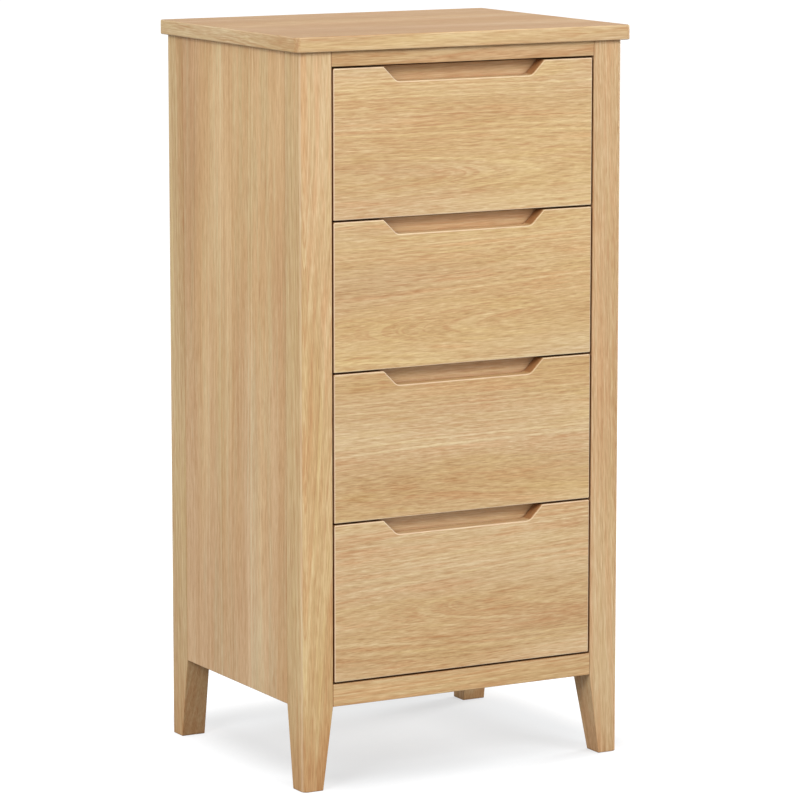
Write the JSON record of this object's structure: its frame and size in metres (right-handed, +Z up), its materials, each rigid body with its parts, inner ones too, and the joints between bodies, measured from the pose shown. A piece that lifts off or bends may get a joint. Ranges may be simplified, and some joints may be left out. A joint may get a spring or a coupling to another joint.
{
  "type": "tall chest of drawers",
  "caption": "Tall narrow chest of flush drawers in light oak, with finger notches for pulls and tapered legs.",
  "frame": {"origin": "on the floor, under the middle of the top board", "axes": "+Z up, +X to the right seen from the front, the drawers open towards -Y"},
  "size_m": [0.508, 0.402, 1],
  "materials": {
    "oak": "solid oak, light natural colour, satin lacquer",
    "drawer_oak": "solid oak drawer boards, thin matt lacquer",
    "plywood": "oak-faced plywood, matt",
    "runner_steel": "bright zinc-plated sheet steel"
  },
  "bodies": {
    "carcass": {"top_panel": "oak", "front_left_leg": "oak", "front_right_leg": "oak", "rear_left_leg": "oak", "rear_right_leg": "oak", "left_side_panel": "oak", "right_side_panel": "oak", "left_runner_stile": "oak", "right_runner_stile": "oak", "top_front_rail": "oak", "bottom_front_rail": "oak", "top_rear_rail": "oak", "bottom_rear_rail": "oak", "back_panel": "plywood", "base_panel": "plywood", "case_left_runner_1": "runner_steel", "case_right_runner_1": "runner_steel", "case_left_runner_2": "runner_steel", "case_right_runner_2": "runner_steel", "case_left_runner_3": "runner_steel", "case_right_runner_3": "runner_steel", "case_left_runner_4": "runner_steel", "case_right_runner_4": "runner_steel"},
    "drawer_1": {"drawer_1_front": "oak", "drawer_1_inner_front": "drawer_oak", "drawer_1_left_side": "drawer_oak", "drawer_1_right_side": "drawer_oak", "drawer_1_back": "drawer_oak", "drawer_1_bottom": "plywood", "drawer_1_left_runner": "runner_steel", "drawer_1_right_runner": "runner_steel"},
    "drawer_2": {"drawer_2_front": "oak", "drawer_2_inner_front": "drawer_oak", "drawer_2_left_side": "drawer_oak", "drawer_2_right_side": "drawer_oak", "drawer_2_back": "drawer_oak", "drawer_2_bottom": "plywood", "drawer_2_left_runner": "runner_steel", "drawer_2_right_runner": "runner_steel"},
    "drawer_3": {"drawer_3_front": "oak", "drawer_3_inner_front": "drawer_oak", "drawer_3_left_side": "drawer_oak", "drawer_3_right_side": "drawer_oak", "drawer_3_back": "drawer_oak", "drawer_3_bottom": "plywood", "drawer_3_left_runner": "runner_steel", "drawer_3_right_runner": "runner_steel"},
    "drawer_4": {"drawer_4_front": "oak", "drawer_4_inner_front": "drawer_oak", "drawer_4_left_side": "drawer_oak", "drawer_4_right_side": "drawer_oak", "drawer_4_back": "drawer_oak", "drawer_4_bottom": "plywood", "drawer_4_left_runner": "runner_steel", "drawer_4_right_runner": "runner_steel"}
  },
  "joints": [
    {"name": "drawer_1_slide", "type": "slide", "parent": "carcass", "child": "drawer_1", "axis": [0, -1, 0], "range_m": [0, 0.26]},
    {"name": "drawer_2_slide", "type": "slide", "parent": "carcass", "child": "drawer_2", "axis": [0, -1, 0], "range_m": [0, 0.26]},
    {"name": "drawer_3_slide", "type": "slide", "parent": "carcass", "child": "drawer_3", "axis": [0, -1, 0], "range_m": [0, 0.26]},
    {"name": "drawer_4_slide", "type": "slide", "parent": "carcass", "child": "drawer_4", "axis": [0, -1, 0], "range_m": [0, 0.26]}
  ]
}
